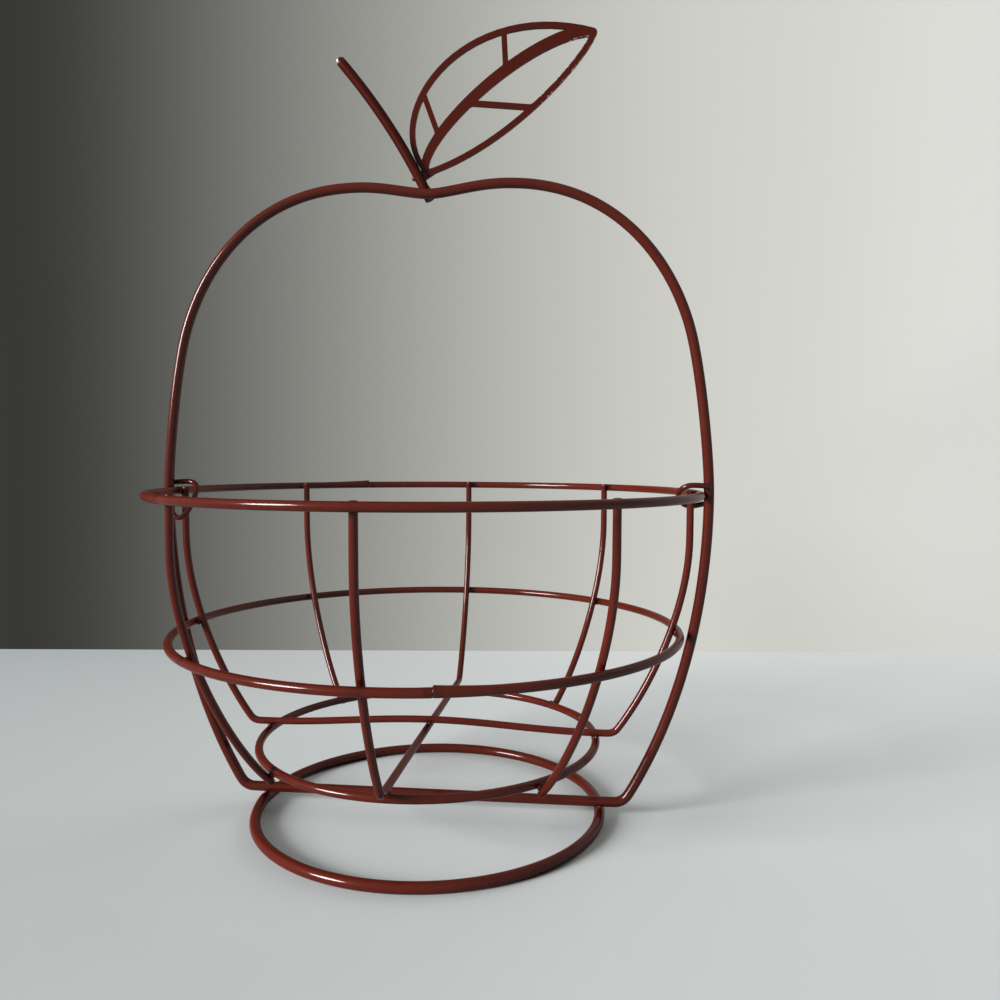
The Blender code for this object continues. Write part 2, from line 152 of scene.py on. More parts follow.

# Spans of X over which the floor and backdrop change colour, as painted shade at the left and
# painted light at the right
ACROSS = (-0.44, 0.26)
FAR_RIGHT = (0.22, 0.40)
FAR_LEFT = (-1.0, -0.42)

# Name, heading, height and width in degrees of each lamp, and whether gloss shows it
LAMPS = (("window_lamp", 217.9, 16.5, 22, True),
         ("soft_lamp", 190, 28, 38, False),
         ("back_lamp", 55, 20, 30, False))
LAMP_DISTANCE = 3
ROOM_COLOUR = (0.92, 0.96, 1.0)


# Measures of the CAD hoops, which the seams and welds are set against

def hoop_sizes(node):
    """Radius to the middle of the wire, wire radius and height of a level hoop."""
    low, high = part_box(node)
    wire = (high.z - low.z) / 2
    return (high.x - low.x) / 2 - wire, wire, (low.z + high.z) / 2


# Settings that a user would change

class BasketSizes(bpy.types.PropertyGroup):
    """Sizes of the details that the new pieces add to the CAD wires."""

    merge: bpy.props.FloatProperty(
        name="Merge distance", description="Vertices of a copied wire closer than this are joined",
        default=0.00001, unit="LENGTH", precision=6)
    end_round: bpy.props.FloatProperty(
        name="Cut end rounding", description="Width of the enamel's rounding on a cut wire end",
        default=0.0004, unit="LENGTH", precision=5)
    seam_gap: bpy.props.FloatProperty(
        name="Seam groove", description="Half width of the groove where a hoop's ends are butted",
        default=0.00010, unit="LENGTH", precision=5)
    seam_depth: bpy.props.FloatProperty(
        name="Seam depth", description="Depth of the groove where a hoop's ends are butted",
        default=0.00018, unit="LENGTH", precision=5)
    seam_step: bpy.props.FloatProperty(
        name="Seam step", description="How far one end of a hoop stands up at its seam",
        default=0.00085, unit="LENGTH", precision=5)
    leaf_edge: bpy.props.FloatProperty(
        name="Leaf edge rounding", description="Rounding of the enamelled edges of the sheet leaf",
        default=0.00035, unit="LENGTH", precision=5)
    leaf_wear: bpy.props.FloatProperty(
        name="Leaf wear", description="Width of the worn band along the leaf's edges",
        default=0.0005, unit="LENGTH", precision=5)
    bead: bpy.props.FloatProperty(
        name="Weld bead", description="Half width of a bead where two bowl wires cross",
        default=0.0020, unit="LENGTH", precision=5)


class EnamelColours(bpy.types.PropertyGroup):
    """Colours of the baked enamel and of the metal under it."""

    body: bpy.props.FloatVectorProperty(
        name="Enamel", description="Red-brown of the enamel", subtype="COLOR",
        default=(0.085, 0.0086, 0.0034), min=0, max=1)
    deep: bpy.props.FloatVectorProperty(
        name="Pooled enamel", description="Darker enamel where it gathers", subtype="COLOR",
        default=(0.038, 0.0038, 0.0018), min=0, max=1)
    worn: bpy.props.FloatVectorProperty(
        name="Rubbed enamel", description="Lighter enamel where it is rubbed", subtype="COLOR",
        default=(0.150, 0.028, 0.016), min=0, max=1)
    metal: bpy.props.FloatVectorProperty(
        name="Bare steel", description="Steel that shows in a chip", subtype="COLOR",
        default=(0.52, 0.47, 0.43), min=0, max=1)
    roughness: bpy.props.FloatProperty(
        name="Roughness", description="Roughness of clean enamel", default=0.36, min=0, max=1)
    body_gloss: bpy.props.FloatProperty(
        name="Body gloss", description="Specular level of the enamel under its glossy top",
        default=0.02, min=0, max=1)
    gloss: bpy.props.FloatProperty(
        name="Gloss coat", description="Weight of the clear, glossy top of the enamel",
        default=0.23, min=0, max=1)
    gloss_roughness: bpy.props.FloatProperty(
        name="Gloss roughness", description="Roughness of the glossy top",
        default=0.105, min=0, max=1)
    gloss_index: bpy.props.FloatProperty(
        name="Gloss index", description="Refractive index of the glossy top",
        default=1.80, min=1, max=3)


class StudioSettings(bpy.types.PropertyGroup):
    """Floor, backdrop, lamps and camera."""

    floor: bpy.props.FloatVectorProperty(
        name="Floor", description="Colour of the floor", subtype="COLOR",
        default=(0.600, 0.625, 0.625), min=0, max=1)
    # The floor is painted darker at its left, as painted shade
    floor_shaded_left: bpy.props.FloatVectorProperty(
        name="Floor left", description="Colour of the floor at its left", subtype="COLOR",
        default=(0.495, 0.522, 0.526), min=0, max=1)
    floor_bounce: bpy.props.FloatVectorProperty(
        name="Floor bounce", subtype="COLOR",
        description="Colour of the floor in the light that it throws on the basket",
        default=(0.30, 0.31, 0.31), min=0, max=1)
    # The backdrop's colours are painted shade and light: darkest at the left, lighter at the far
    # left, and lit at the right and beyond it
    wall_lit_far_right: bpy.props.FloatVectorProperty(
        name="Backdrop far right", subtype="COLOR",
        description="Colour of the backdrop beyond its right",
        default=(0.62, 0.62, 0.59), min=0, max=1)
    wall_shaded_far_left: bpy.props.FloatVectorProperty(
        name="Backdrop far left", subtype="COLOR",
        description="Colour of the backdrop beyond its left",
        default=(0.40, 0.40, 0.38), min=0, max=1)
    wall_shaded_left: bpy.props.FloatVectorProperty(
        name="Backdrop left", description="Colour of the backdrop at its left", subtype="COLOR",
        default=(0.034, 0.034, 0.031), min=0, max=1)
    wall_lit_right: bpy.props.FloatVectorProperty(
        name="Backdrop right", description="Colour of the backdrop at its right", subtype="COLOR",
        default=(0.560, 0.560, 0.520), min=0, max=1)
    wall_distance: bpy.props.FloatProperty(
        name="Backdrop distance", description="From the camera to the foot of the backdrop",
        default=0.762, unit="LENGTH")
    window_power: bpy.props.FloatProperty(
        name="Window lamp", description="Strength of the window-like lamp low at the left",
        default=6.2)
    side_power: bpy.props.FloatProperty(
        name="Soft lamp", description="Strength of the soft lamp further left and higher",
        default=0.6)
    back_power: bpy.props.FloatProperty(
        name="Back lamp", description="Strength of the soft lamp behind the basket at the right",
        default=1.3)
    sky: bpy.props.FloatProperty(
        name="Room light", description="Strength of the light from all round", default=0.04)
    camera_place: bpy.props.FloatVectorProperty(
        name="Camera", description="Where the camera stands", subtype="TRANSLATION",
        default=(0.07826, -0.40814, 0.17132))
    camera_heading: bpy.props.FloatProperty(
        name="Heading", description="Direction of view from +X", subtype="ANGLE",
        default=math.radians(96.20))
    camera_pitch: bpy.props.FloatProperty(
        name="Pitch", description="Direction of view above the level", subtype="ANGLE",
        default=math.radians(-2.73))
    camera_roll: bpy.props.FloatProperty(
        name="Roll", description="Turn of the camera about its view", subtype="ANGLE",
        default=math.radians(0.21))
    lens: bpy.props.FloatProperty(
        name="Lens", description="Focal length on a 36 mm wide sensor, in millimetres",
        default=31.03)


# Materials

def new_group(name, inputs, outputs):
    """A shader node group with the given sockets, and its input and output nodes."""
    tree = bpy.data.node_groups.new(name, "ShaderNodeTree")
    for label, kind, value in inputs:
        socket = tree.interface.new_socket(name=label, in_out="INPUT", socket_type=kind)
        if value is not None:
            socket.default_value = value
    for label, kind in outputs:
        tree.interface.new_socket(name=label, in_out="OUTPUT", socket_type=kind)
    return tree, tree.nodes.new("NodeGroupInput"), tree.nodes.new("NodeGroupOutput")


def noise(tree, vector, scale, detail, rough=0.55):
    """A noise texture read at a scale per metre."""
    node = tree.nodes.new("ShaderNodeTexNoise")
    node.inputs["Scale"].default_value = scale
    node.inputs["Detail"].default_value = detail
    node.inputs["Roughness"].default_value = rough
    tree.links.new(vector, node.inputs["Vector"])
    return node.outputs["Fac"]


def span(tree, value, low, high, to_low=0.0, to_high=1.0):
    """Stretch a value's range onto another, clamped and smooth."""
    node = tree.nodes.new("ShaderNodeMapRange")
    node.interpolation_type = "SMOOTHSTEP"
    node.inputs["From Min"].default_value = low
    node.inputs["From Max"].default_value = high
    node.inputs["To Min"].default_value = to_low
    node.inputs["To Max"].default_value = to_high
    tree.links.new(value, node.inputs["Value"])
    return node.outputs["Result"]


def arithmetic(tree, operation, first, second):
    """A maths node on two values, each a socket or a number."""
    node = tree.nodes.new("ShaderNodeMath")
    node.operation = operation
    for slot, value in zip(node.inputs, (first, second)):
        if isinstance(value, (int, float)):
            slot.default_value = value
        else:
            tree.links.new(value, slot)
    return node.outputs["Value"]


def blend_colours(tree, factor, first, second):
    """Mix two colours, each a socket or a value, by a factor socket."""
    node = tree.nodes.new("ShaderNodeMix")
    node.data_type = "RGBA"
    tree.links.new(factor, node.inputs["Factor"])
    for label, colour in (("A", first), ("B", second)):
        if isinstance(colour, bpy.types.NodeSocket):
            tree.links.new(colour, node.inputs[label])
        else:
            node.inputs[label].default_value = (*colour, 1)
    return node.outputs["Result"]


def seen_directly(tree):
    """1 for what the camera sees, and for what gloss and glass show."""
    rays = tree.nodes.new("ShaderNodeLightPath").outputs
    mirrored = arithmetic(tree, "MAXIMUM", rays["Is Glossy Ray"], rays["Is Transmission Ray"])
    return arithmetic(tree, "MAXIMUM", rays["Is Camera Ray"], mirrored)


def enamel_group():
    """Colour, roughness, metal mask and relief of thin baked enamel on steel wire.

    Weld is 1 at a welded joint, where the enamel pools darker, and in a hoop's butt seam, where
    the darkening is painted shade in the groove; Wear is 1 on an edge or end that gets knocked.
    """
    existing = bpy.data.node_groups.get("Baked Enamel")
    if existing:
        return existing
    tree, entry, out = new_group(
        "Baked Enamel",
        [("Vector", "NodeSocketVector", None), ("Enamel", "NodeSocketColor", None),
         ("Pooled", "NodeSocketColor", None), ("Rubbed", "NodeSocketColor", None),
         ("Steel", "NodeSocketColor", None), ("Roughness", "NodeSocketFloat", 0.34),
         ("Weld", "NodeSocketFloat", 0.0), ("Wear", "NodeSocketFloat", 0.0),
         ("Chips", "NodeSocketFloat", 0.5)],
        [("Color", "NodeSocketColor"), ("Roughness", "NodeSocketFloat"),
         ("Metal", "NodeSocketFloat"), ("Height", "NodeSocketFloat")])
    place = entry.outputs["Vector"]
    # Drift of tone, mottle, the orange peel and grit of baked enamel, and flakes that chip off
    drift = noise(tree, place, 34, 2)
    mottle = noise(tree, place, 260, 4)
    peel = noise(tree, place, 1150, 2)
    grit = noise(tree, place, 2600, 1)
    flakes = noise(tree, place, 620, 5, 0.7)
    tone = arithmetic(tree, "MULTIPLY", span(tree, drift, 0.30, 0.75), 0.25)
    pooled = arithmetic(tree, "MULTIPLY", span(tree, mottle, 0.20, 0.80), 0.20)
    shade = arithmetic(tree, "ADD", tone, pooled)
    # Welds darken the enamel where it pools, and at a butt seam the same mask paints shade in the
    # groove
    welded = arithmetic(tree, "MULTIPLY", entry.outputs["Weld"],
                        span(tree, mottle, 0.2, 0.6, 0.35, 0.85))
    dark = arithmetic(tree, "MAXIMUM", shade, welded)
    colour = blend_colours(tree, dark, entry.outputs["Enamel"], entry.outputs["Pooled"])
    rub = arithmetic(tree, "MULTIPLY", entry.outputs["Wear"],
                     span(tree, mottle, 0.40, 0.62, 0.0, 0.75))
    colour = blend_colours(tree, rub, colour, entry.outputs["Rubbed"])
    # More chips lower the limit above which a flake is gone, and only well worn places lose any
    fewer = arithmetic(tree, "MULTIPLY", entry.outputs["Chips"], 0.26)
    limit = arithmetic(tree, "SUBTRACT", 0.78, fewer)
    chip = arithmetic(tree, "GREATER_THAN", flakes, limit)
    chip = arithmetic(tree, "MULTIPLY", chip, span(tree, entry.outputs["Wear"], 0.45, 0.75))
    colour = blend_colours(tree, chip, colour, entry.outputs["Steel"])
    tree.links.new(colour, out.inputs["Color"])
    rough = arithmetic(tree, "ADD", entry.outputs["Roughness"],
                       span(tree, mottle, 0.2, 0.8, -0.04, 0.04))
    rough = arithmetic(tree, "ADD", rough, arithmetic(tree, "MULTIPLY", welded, 0.16))
    rough = arithmetic(tree, "ADD", rough, arithmetic(tree, "MULTIPLY", chip, 0.12))
    tree.links.new(rough, out.inputs["Roughness"])
    tree.links.new(arithmetic(tree, "MULTIPLY", chip, 0.7), out.inputs["Metal"])
    relief = arithmetic(tree, "ADD", arithmetic(tree, "MULTIPLY", peel, 0.7),
                        arithmetic(tree, "MULTIPLY", grit, 0.3))
    relief = arithmetic(tree, "SUBTRACT", relief, arithmetic(tree, "MULTIPLY", chip, 0.9))
    tree.links.new(relief, out.inputs["Height"])
    return tree


def enamel(name, relief, chips, gloss=1.0, painted_shade_scale=1.0):
    """Enamel for one kind of piece: the group feeds a Principled shader with a thin clear coat.

    Gloss scales the coat, and the last argument scales the colours down as painted shade, for
    pieces that stood in less light.
    """
    colours = bpy.context.scene.basket_enamel
    material = bpy.data.materials.new(name)
    material.use_nodes = True
    tree = material.node_tree
    shader = tree.nodes["Principled BSDF"]
    place = tree.nodes.new("ShaderNodeTexCoord").outputs["Object"]
    group = tree.nodes.new("ShaderNodeGroup")
    group.node_tree = enamel_group()
    tree.links.new(place, group.inputs["Vector"])
    # The enamel, pooled and rubbed colours are scaled down as painted shade; bare steel is not
    for label, value, share in (("Enamel", colours.body, painted_shade_scale), ("Pooled", colours.deep, painted_shade_scale),
                                ("Rubbed", colours.worn, painted_shade_scale), ("Steel", colours.metal, 1)):
        group.inputs[label].default_value = (*(channel * share for channel in value), 1)
    group.inputs["Roughness"].default_value = colours.roughness
    group.inputs["Chips"].default_value = chips
    for label in ("weld", "wear"):
        mask = tree.nodes.new("ShaderNodeAttribute")
        mask.attribute_name = label
        tree.links.new(mask.outputs["Fac"], group.inputs[label.title()])
    bump = tree.nodes.new("ShaderNodeBump")
    bump.inputs["Strength"].default_value = relief
    bump.inputs["Distance"].default_value = RELIEF_DEPTH
    tree.links.new(group.outputs["Height"], bump.inputs["Height"])
    tree.links.new(group.outputs["Color"], shader.inputs["Base Color"])
    tree.links.new(group.outputs["Roughness"], shader.inputs["Roughness"])
    tree.links.new(group.outputs["Metal"], shader.inputs["Metallic"])
    tree.links.new(bump.outputs["Normal"], shader.inputs["Normal"])
    shader.inputs["Specular IOR Level"].default_value = colours.body_gloss
    shader.inputs["Coat Weight"].default_value = colours.gloss * gloss
    shader.inputs["Coat Roughness"].default_value = colours.gloss_roughness
    shader.inputs["Coat IOR"].default_value = colours.gloss_index
    return material


# Modelling steps

def deselect_all():
    """Leave nothing selected, in object mode."""
    if bpy.context.object and bpy.context.object.mode != "OBJECT":
        bpy.ops.object.mode_set(mode="OBJECT")
    bpy.ops.object.select_all(action="DESELECT")


def pick(piece):
    """Make one object the only selected and the active one."""
    deselect_all()
    piece.select_set(True)
    bpy.context.view_layer.objects.active = piece


def copy_node(node, name):
    """A merged copy of a CAD node's mesh, as quads, for shaping."""
    source = frame["nodes"][node]
    pick(source)
    bpy.ops.object.duplicate(linked=False)
    piece = bpy.context.view_layer.objects.active
    piece.name = name
    del piece["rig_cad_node"]
    piece.parent = None
    bpy.ops.object.mode_set(mode="EDIT")
    bpy.ops.mesh.select_all(action="SELECT")
    bpy.ops.mesh.remove_doubles(threshold=bpy.context.scene.basket_sizes.merge)
    bpy.ops.mesh.tris_convert_to_quads(face_threshold=math.radians(40),
                                       shape_threshold=math.radians(60))
    bpy.ops.object.mode_set(mode="OBJECT")
    return piece


def smooth(piece):
    """Apply a subdivision surface."""
    pick(piece)
    modifier = piece.modifiers.new("round", "SUBSURF")
    modifier.levels = ROUND_LEVELS
    modifier.render_levels = ROUND_LEVELS
    bpy.ops.object.modifier_apply(modifier=modifier.name)
    bpy.ops.object.shade_smooth()


def fatten(piece, wire, sides):
    """Swell a faceted wire so that its subdivided surface has the wire's radius."""
    kept = (4 + 2 * math.cos(2 * math.pi / sides)) / 6
    pick(piece)
    bpy.ops.object.mode_set(mode="EDIT")
    bpy.ops.mesh.select_all(action="SELECT")
    bpy.ops.transform.shrink_fatten(value=wire * (1 / kept - 1))
    bpy.ops.object.mode_set(mode="OBJECT")


def select_where(piece, kind, test):
    """Select the faces or vertices whose place passes a test, and stay in edit mode."""
    pick(piece)
    bpy.ops.object.mode_set(mode="EDIT")
    bpy.ops.mesh.select_mode(type=kind)
    bpy.ops.mesh.select_all(action="DESELECT")
    bpy.ops.object.mode_set(mode="OBJECT")
    parts = piece.data.polygons if kind == "FACE" else piece.data.vertices
    for part in parts:
        part.select = bool(test(part.center if kind == "FACE" else part.co))
    bpy.ops.object.mode_set(mode="EDIT")


def round_ends(piece):
    """Round the edges of a wire's cut ends, as the enamel does."""
    pick(piece)
    bpy.ops.object.mode_set(mode="EDIT")
    bpy.ops.mesh.select_mode(type="EDGE")
    bpy.ops.mesh.select_all(action="DESELECT")
    bpy.ops.mesh.edges_select_sharp(sharpness=SHARP_TURN)
    if piece.data.total_edge_sel:
        bpy.ops.mesh.bevel(offset=bpy.context.scene.basket_sizes.end_round, segments=2,
                           affect="EDGES", clamp_overlap=True)
    bpy.ops.object.mode_set(mode="OBJECT")


def butt_seam(piece, radius, height, angle, wire):
    """Cut a groove round a hoop where its ends are butted, and raise the end that stands up.

    Gives back the seam's place.
    """
    sizes = bpy.context.scene.basket_sizes
    spot = Vector((radius * math.cos(angle), radius * math.sin(angle), height))
    along = Vector((-math.sin(angle), math.cos(angle), 0))
    near_seam = radius / 6
    for share in SEAM_CUTS:
        place = spot + along * (sizes.seam_gap * share)
        select_where(piece, "FACE", lambda middle: (middle - spot).length < near_seam)
        bpy.ops.mesh.bisect(plane_co=place, plane_no=along)
        bpy.ops.object.mode_set(mode="OBJECT")
    groove = sizes.seam_gap * 1.2
    select_where(piece, "VERT", lambda place: (place - spot).length < near_seam
                 and abs((place - spot).dot(along)) < groove)
    bpy.ops.transform.resize(value=(1 - sizes.seam_depth / wire,) * 3, center_override=spot,
                             orient_type="GLOBAL")
    bpy.ops.object.mode_set(mode="OBJECT")
    for vertex in piece.data.vertices:
        ahead = (vertex.co - spot).dot(along)
        if (vertex.co - spot).length < SEAM_REACH and ahead > -sizes.seam_gap * 0.5:
            upper = (vertex.co.z - height + wire) / (2 * wire)
            vertex.co.z += sizes.seam_step * upper * (1 - abs(ahead) / SEAM_REACH)
    return spot


def mark(piece, label, spots, reach):
    """Store a mask that is 1 within reach of a spot and falls to 0 at twice that distance."""
    attributes = piece.data.attributes
    attribute = attributes.get(label) or attributes.new(label, "FLOAT", "POINT")
    for index, vertex in enumerate(piece.data.vertices):
        nearest = min(((vertex.co - spot).length for spot in spots), default=reach * 3)
        attribute.data[index].value = max(0.0, min(1.0, 2 - nearest / reach))


def finish_piece(piece, nodes, body, material):
    """Give a piece its material in a slot and its body, and hide the CAD nodes that it stands for.
    """
    piece.data.materials.clear()
    piece.data.materials.append(material)
    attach(piece, body)
    if nodes:
        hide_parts(*nodes)


def wire_material(name="Wire Enamel", painted_shade_scale=1.0):
    """The enamel of a wire, made once for each name, its colours scaled down as painted shade
    where asked.
    """
    return bpy.data.materials.get(name) or enamel(name, relief=0.10, chips=0.25, painted_shade_scale=painted_shade_scale)


def enamelled_wire(node, name, body, wire, seam=None, foot=None, material=None):
    """Make a round copy of a CAD wire, which stands for it on its body.

    Seam is the angle of a hoop's butt seam, and foot the height below which the wire is cut off.
    """
    piece = copy_node(node, name)
    if foot is not None:
        bpy.ops.object.mode_set(mode="EDIT")
        bpy.ops.mesh.select_all(action="SELECT")
        bpy.ops.mesh.bisect(plane_co=(0, 0, foot), plane_no=(0, 0, 1), use_fill=True,
                            clear_inner=True)
        bpy.ops.object.mode_set(mode="OBJECT")
    fatten(piece, *wire)
    round_ends(piece)
    spots = weld_spots(node)
    if seam is not None:
        radius, _, height = hoop_sizes(node)
        # The seam joins the weld mask, whose darkening in the groove is painted shade
        spots.append(butt_seam(piece, radius, height, seam, wire[0]))
    smooth(piece)
    mark(piece, "weld", spots, WIRE_WELD)
    mark(piece, "wear", cut_ends(node), CUT_WEAR)
    finish_piece(piece, [node], body, material or wire_material())


def cut_ends(node):
    """Tops of a rib, where its wire is cut."""
    return [top for rib, top in LEGS if rib == node]


def weld_spots(node):
    """Places on a wire where another one is welded to it."""
    return [spot for spot, _, owners, _ in WELDS if node in owners]


def list_legs():
    """Every rib leg with the middle of its cut top."""
    level = hoop_sizes("rim_ring")[2]
    legs = []
    for node in ("long_rib_side", "long_rib_front", "short_rib_back_right", "short_rib_back_left",
                 "short_rib_front_left", "short_rib_front_right"):
        high = [vertex.co for vertex in frame["nodes"][node].data.vertices if vertex.co.z > level]
        first = high[0]
        for near in (True, False):
            group = [place for place in high if ((place - first).length < LEG_GAP) == near]
            if group:
                legs.append((node, sum(group, Vector((0, 0, 0))) / len(group)))
    return legs


def list_welds():
    """Every weld: its place, the angle it faces, the nodes it joins and its share of a bead."""
    rim, rim_wire, rim_height = hoop_sizes("rim_ring")
    base, base_wire, base_height = hoop_sizes("base_ring")
    middle, middle_wire, middle_height = hoop_sizes("middle_ring")
    foot = hoop_sizes("foot_ring")[0]
    welds = []
    for rib, top in LEGS:
        angle = math.atan2(top.y, top.x)
        out = Vector((math.cos(angle), math.sin(angle), 0))
        spot = out * (rim - rim_wire) + Vector((0, 0, rim_height))
        welds.append((spot, angle, ("rim_ring", rib), 1.0))
        spot = out * (middle - middle_wire * BEAD_SIDE) + Vector((0, 0, middle_height))
        welds.append((spot, angle, ("middle_ring", rib), 1.0))
        if rib.startswith("long"):
            spot = out * base + Vector((0, 0, base_height + base_wire))
        elif "back" in rib:
            spot = out * (base + base_wire * BEAD_SIDE) + Vector((0, 0, base_height))
        else:
            corner = base_wire * BEAD_CORNER
            spot = out * (base + corner) + Vector((0, 0, base_height - corner))
        welds.append((spot, angle, ("base_ring", rib), 1.0))
    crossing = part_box("long_rib_front")[0].z
    welds.append((Vector((0, 0, crossing + CROSSING_RISE)), 0.0,
                  ("long_rib_front", "long_rib_side"), CROSSING_SHARE))
    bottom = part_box("frame_wire")[0].z
    for side in (-1, 1):
        welds.append((Vector((side * foot, 0, bottom)), 0.0, ("foot_ring", "frame_wire"), 1.0))
    for eye, side in (("hanger_eye_left", -1), ("hanger_eye_right", 1)):
        for up in (-1, 1):
            spot = Vector((side * EYE_WELD[0], -side * up * EYE_WELD[1],
                           rim_height + up * EYE_WELD[1]))
            welds.append((spot, 0.0, (eye, "frame_wire"), EYE_SHARE))
    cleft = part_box("stem")[0].z
    for place, nodes, share in STALK_WELDS:
        welds.append((Vector(place) + Vector((0, 0, cleft)), math.pi / 2, nodes, share))
    return welds


def direction(heading, height):
    """Unit vector at a heading from +X and an angle above the level."""
    return Vector((math.cos(heading) * math.cos(height), math.sin(heading) * math.cos(height),
                   math.sin(height)))


LEGS = list_legs()
WELDS = list_welds()


# Operators, one for each group of pieces

class BASKET_OT_frame(bpy.types.Operator):
    """Apple outline wire that serves as the handle, and the hoop that it stands on"""

    bl_idname = "basket.frame"
    bl_label = "Outline wire and foot hoop"

    def execute(self, context):
        # The outline wire's enamel is scaled down as painted shade, for the handle top that stood
        # in less light
        enamelled_wire("frame_wire", "outline_wire", "frame", OUTLINE_WIRE,
                       material=wire_material("Outline Enamel", painted_shade_scale=0.84))
        enamelled_wire("foot_ring", "foot_hoop", "frame", FOOT_WIRE, math.radians(FOOT_SEAM))
        return {"FINISHED"}


class BASKET_OT_stem(bpy.types.Operator):
    """Cut length of wire welded behind the handle's cleft"""

    bl_idname = "basket.stem"
    bl_label = "Stem"

    def execute(self, context):
        piece = copy_node("stem", "stem_wire")
        fatten(piece, *STEM_WIRE)
        round_ends(piece)
        smooth(piece)
        low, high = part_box("stem")
        cut = Vector((low.x + STEM_CUT[0], (low.y + high.y) / 2, high.z - STEM_CUT[1]))
        mark(piece, "weld", [Vector((0, low.y, low.z + STALK_FOOT))], STEM_WELD)
        mark(piece, "wear", [cut], STEM_WEAR)
        # The stem's enamel is scaled down as painted shade, for its place high up in less light
        finish_piece(piece, ["stem"], "frame",
                     enamel("Stem Enamel", relief=0.12, chips=0.9, gloss=0.30, painted_shade_scale=0.58))
        return {"FINISHED"}


class BASKET_OT_leaf(bpy.types.Operator):
    """Pierced sheet leaf with softened enamelled edges"""

    bl_idname = "basket.leaf"
    bl_label = "Leaf"

    def execute(self, context):
        sizes = context.scene.basket_sizes
        piece = copy_node("leaf", "sheet_leaf")
        bpy.ops.object.mode_set(mode="EDIT")
        bpy.ops.mesh.select_all(action="SELECT")
        bpy.ops.mesh.dissolve_limited(angle_limit=math.radians(1))
        bpy.ops.mesh.select_all(action="DESELECT")
        bpy.ops.mesh.select_mode(type="EDGE")
        bpy.ops.mesh.edges_select_sharp(sharpness=SHARP_TURN)
        bpy.ops.mesh.bevel(offset=sizes.leaf_edge, segments=3, affect="EDGES", clamp_overlap=True)
        bpy.ops.object.mode_set(mode="OBJECT")
        bpy.ops.object.shade_smooth_by_angle(angle=math.radians(35))
        low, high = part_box("leaf")
        inner = set()
        for face in (low.y, high.y):
            select_where(piece, "FACE", lambda place: abs(place.y - face) < 1e-6)
            bpy.ops.mesh.inset(thickness=sizes.leaf_wear, use_boundary=True,
                               use_even_offset=False)
            bpy.ops.object.mode_set(mode="OBJECT")
            inner |= {index for polygon in piece.data.polygons if polygon.select
                      for index in polygon.vertices}
        chips = [Vector((high.x - across, low.y, high.z - down)) for across, down in LEAF_CHIPS]
        mark(piece, "wear", chips, CHIP_WEAR)
        for index, wear in enumerate(piece.data.attributes["wear"].data):
            wear.value = 0.0 if index in inner else LEAF_RUB + (1 - LEAF_RUB) * wear.value
        mark(piece, "weld", [Vector((0, low.y, low.z + STALK_FOOT))], LEAF_WELD)
        # The leaf's enamel is scaled down as painted shade, for its place high up in less light
        finish_piece(piece, ["leaf"], "frame",
                     enamel("Leaf Enamel", relief=0.12, chips=0.84, gloss=0.6, painted_shade_scale=0.68))
        return {"FINISHED"}


class BASKET_OT_eyes(bpy.types.Operator):
    """Two wire eyes on the outline wire that carry the bowl"""

    bl_idname = "basket.eyes"
    bl_label = "Hanger eyes"

    def execute(self, context):
        # The eyes' enamel is scaled down as painted shade, for eyes that hang in the rim's shadow
        dark = wire_material("Eye Enamel", painted_shade_scale=0.7)
        enamelled_wire("hanger_eye_left", "eye_left", "frame", EYE_WIRE, material=dark)
        enamelled_wire("hanger_eye_right", "eye_right", "frame", EYE_WIRE, material=dark)
        return {"FINISHED"}


class BASKET_OT_hoops(bpy.types.Operator):
    """Rim, middle and base hoops of the bowl"""

    bl_idname = "basket.hoops"
    bl_label = "Bowl hoops"

    def execute(self, context):
        for name, seam in BOWL_SEAMS:
            enamelled_wire(name + "_ring", name + "_hoop", "bowl", HOOP_WIRE, math.radians(seam))
        return {"FINISHED"}


class BASKET_OT_ribs(bpy.types.Operator):
    """Two long ribs under the bowl and four short ones between them"""

    bl_idname = "basket.ribs"
    bl_label = "Bowl ribs"

    def execute(self, context):
        _, base_wire, base_height = hoop_sizes("base_ring")
        for name in ("long_rib_side", "long_rib_front", "short_rib_back_right",
                     "short_rib_back_left", "short_rib_front_left", "short_rib_front_right"):
            foot = base_height - base_wire - BACK_LEG_REACH if "back" in name else None
            enamelled_wire(name, name.replace("rib", "leg"), "bowl", LEG_WIRE, foot=foot)
        return {"FINISHED"}


class BASKET_OT_welds(bpy.types.Operator):
    """Small enamelled beads where the wires are welded"""

    bl_idname = "basket.welds"
    bl_label = "Weld beads"

    def execute(self, context):
        sizes = context.scene.basket_sizes
        for body, name in (("bowl", "bowl_welds"), ("frame", "frame_welds")):
            members = {node for node, solid in frame["nodes"].items()
                       if solid.get("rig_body") == body}
            beads = []
            for spot, angle, owners, share in WELDS:
                if not set(owners) & members:
                    continue
                deselect_all()
                bpy.ops.mesh.primitive_ico_sphere_add(subdivisions=3, location=spot,
                                                      radius=sizes.bead * share)
                bead = context.view_layer.objects.active
                bpy.ops.object.mode_set(mode="EDIT")
                bpy.ops.mesh.select_all(action="SELECT")
                bpy.ops.transform.resize(value=BEAD_SHAPE)
                bpy.ops.transform.rotate(value=-angle, orient_axis="Z", center_override=spot)
                bpy.ops.transform.vertex_random(offset=BEAD_LUMPS, seed=len(beads) + 3)
                bpy.ops.object.mode_set(mode="OBJECT")
                bpy.ops.object.transform_apply(location=True, rotation=True, scale=True)
                beads.append(bead)
            deselect_all()
            for bead in beads:
                bead.select_set(True)
            context.view_layer.objects.active = beads[0]
            bpy.ops.object.join()
            piece = beads[0]
            piece.name = name
            bpy.ops.object.shade_smooth()
            mark(piece, "weld", [weld[0] for weld in WELDS], BEAD_WELD)
            mark(piece, "wear", [], CUT_WEAR)
            finish_piece(piece, [], body, wire_material())
        return {"FINISHED"}


